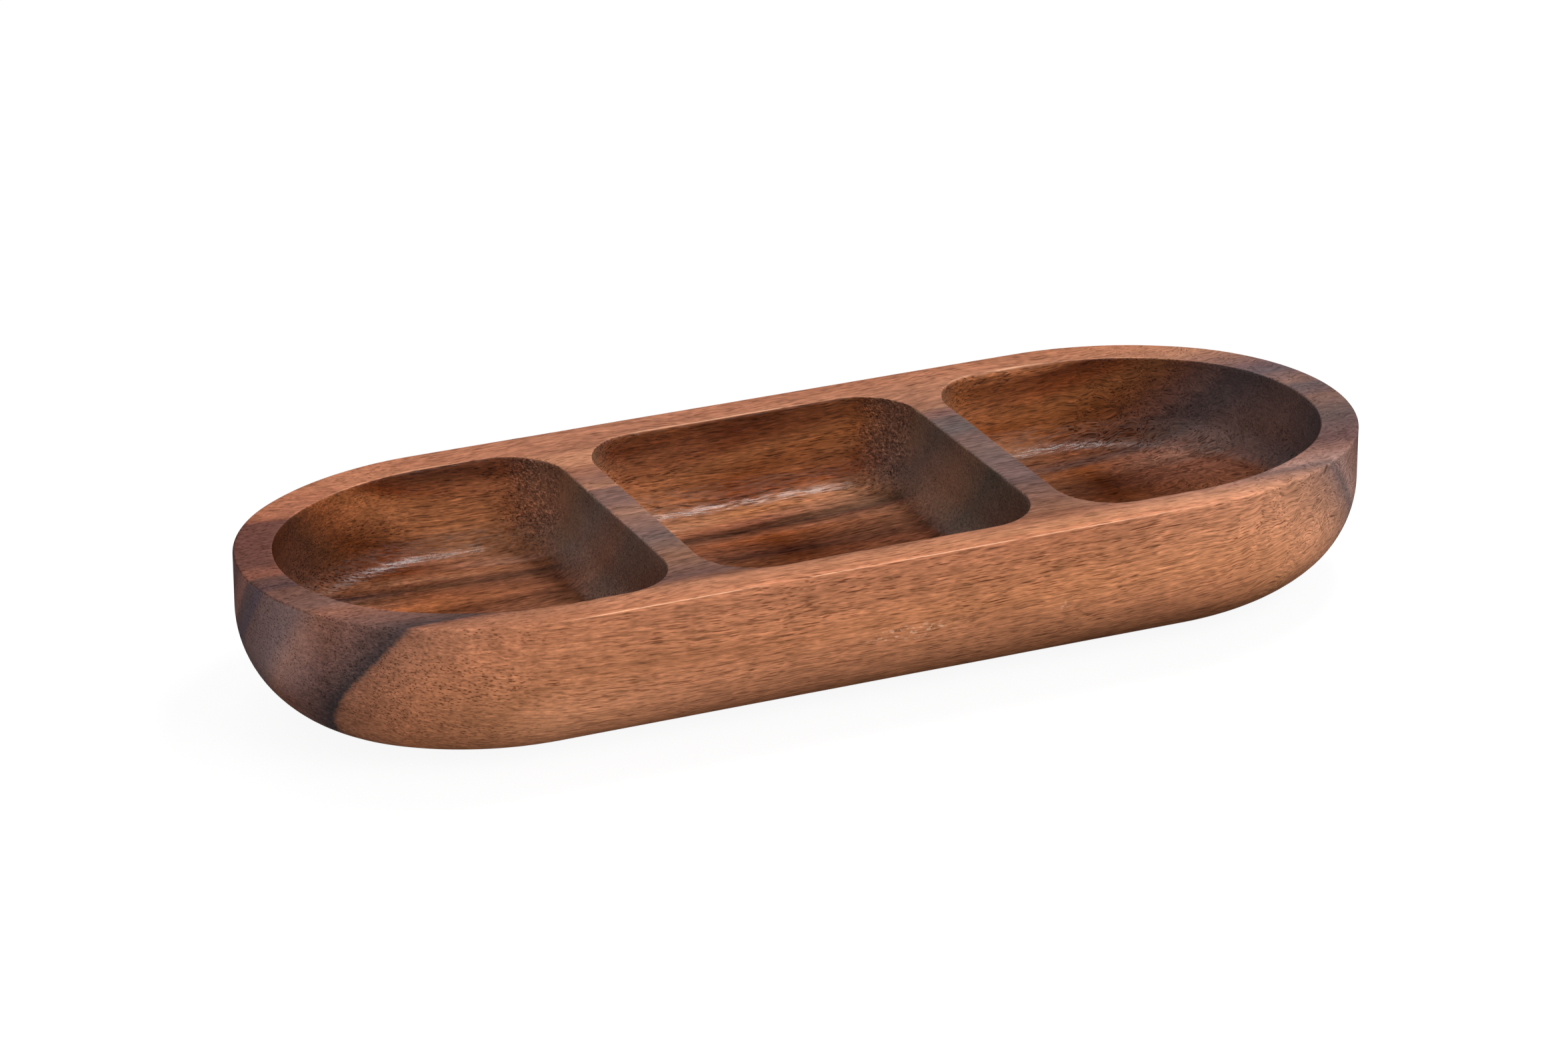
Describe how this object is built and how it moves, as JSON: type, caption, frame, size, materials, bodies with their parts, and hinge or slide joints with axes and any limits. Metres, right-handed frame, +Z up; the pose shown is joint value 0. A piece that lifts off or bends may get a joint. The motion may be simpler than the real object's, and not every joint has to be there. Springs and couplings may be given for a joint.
{
  "type": "chip and dip server",
  "caption": "Long oval serving tray carved from a solid wooden block, with a square-cornered well between rounded end wells and a deep under-round to a flat base.",
  "frame": {"origin": "centre of the flat base, at the middle of the length and width, on the surface it stands on", "axes": "+X along the length, +Y across to the back side, +Z up through the wells"},
  "size_m": [0.406, 0.152, 0.056],
  "materials": {
    "acacia": "satin oiled solid acacia, pinkish-brown sapwood and dark purple-brown heartwood streaks along the length"
  },
  "bodies": {
    "root": {"tray_body": "acacia"}
  },
  "joints": []
}
